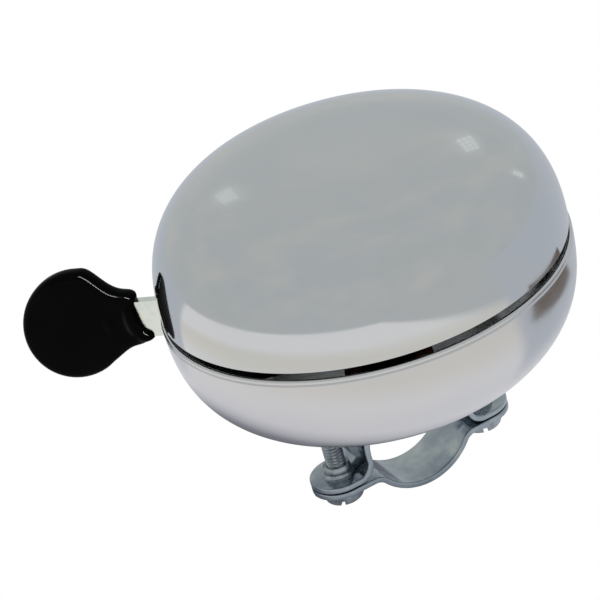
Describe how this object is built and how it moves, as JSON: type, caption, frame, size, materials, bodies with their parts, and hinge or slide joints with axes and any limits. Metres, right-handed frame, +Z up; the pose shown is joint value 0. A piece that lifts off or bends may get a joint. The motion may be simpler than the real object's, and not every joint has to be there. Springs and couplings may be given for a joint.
{
  "type": "bicycle bell",
  "caption": "Chrome two-dome bicycle bell with a side lever in a black dipped coat, a geared rotor with loose striker discs, and a screwed handlebar clamp.",
  "frame": {"origin": "centre of the handlebar bore, in the middle of the clamp's width", "axes": "+X along the handlebar, +Z up the bell's axis, +Y across the bar so that the lever leaves towards -X -Y"},
  "size_m": [0.085, 0.0983, 0.0755],
  "materials": {
    "gong_chrome": "bright chrome plate on a pressed steel dome",
    "zinc_plate": "bright zinc plate with faint clouding",
    "dark_vinyl": "thick glossy dip coating with an uneven edge",
    "mechanism_steel": "plain turned and stamped steel",
    "striker_steel": "tumbled hardened steel",
    "spring_steel": "oiled spring wire",
    "red_fibre": "vulcanised fibre"
  },
  "bodies": {
    "root": {"saddle_bracket": "zinc_plate", "centre_stud": "mechanism_steel", "lower_gong": "gong_chrome", "lower_strike_nib": "mechanism_steel", "fibre_washer": "red_fibre", "lock_washer": "mechanism_steel", "gong_nut": "mechanism_steel", "plate_spacer": "mechanism_steel", "mechanism_plate": "mechanism_steel", "lever_pivot_pin": "mechanism_steel", "pivot_clip": "mechanism_steel", "spring_post": "mechanism_steel", "lever_stop": "mechanism_steel", "rotor_clip": "mechanism_steel", "upper_gong": "gong_chrome", "upper_gong_boss": "mechanism_steel", "gong_locknut": "mechanism_steel", "upper_strike_nib": "mechanism_steel", "return_spring": "spring_steel"},
    "clamp_lower": {"clamp_strap": "zinc_plate", "clamp_screws": "zinc_plate"},
    "thumb_lever": {"lever": "zinc_plate", "lever_grip": "dark_vinyl"},
    "rotor": {"rotor_pinion": "mechanism_steel", "rotor_arm": "mechanism_steel", "upper_striker_post": "mechanism_steel", "lower_striker_post": "mechanism_steel", "striker_clips": "mechanism_steel"},
    "striker_high": {"upper_striker": "striker_steel"},
    "striker_low": {"lower_striker": "striker_steel"}
  },
  "joints": [
    {"name": "clamp_opening", "type": "slide", "parent": "root", "child": "clamp_lower", "axis": [0, 0, -1], "range_m": [0, 0.006]},
    {"name": "lever_swing", "type": "hinge", "parent": "root", "child": "thumb_lever", "pos_m": [-0.01006, -0.0218, 0.0278], "axis": [0, 0, -1], "range_deg": [0, 25], "stiffness_Nm_per_rad": 0.34, "springref_deg": -8.59, "deforming": ["return_spring"]},
    {"name": "rotor_spin", "type": "hinge", "parent": "root", "child": "rotor", "pos_m": [0, 0, 0.0295], "axis": [0, 0, 1], "range_deg": [0, 75]},
    {"name": "upper_striker_float", "type": "slide", "parent": "rotor", "child": "striker_high", "axis": [0.274, -0.9617, 0], "range_m": [-0.0008, 0.0008]},
    {"name": "lower_striker_float", "type": "slide", "parent": "rotor", "child": "striker_low", "axis": [-0.274, 0.9617, 0], "range_m": [-0.0008, 0.0008]}
  ],
  "couplings": [
    {"joint": "rotor_spin", "follows": "lever_swing", "ratio": 3}
  ]
}
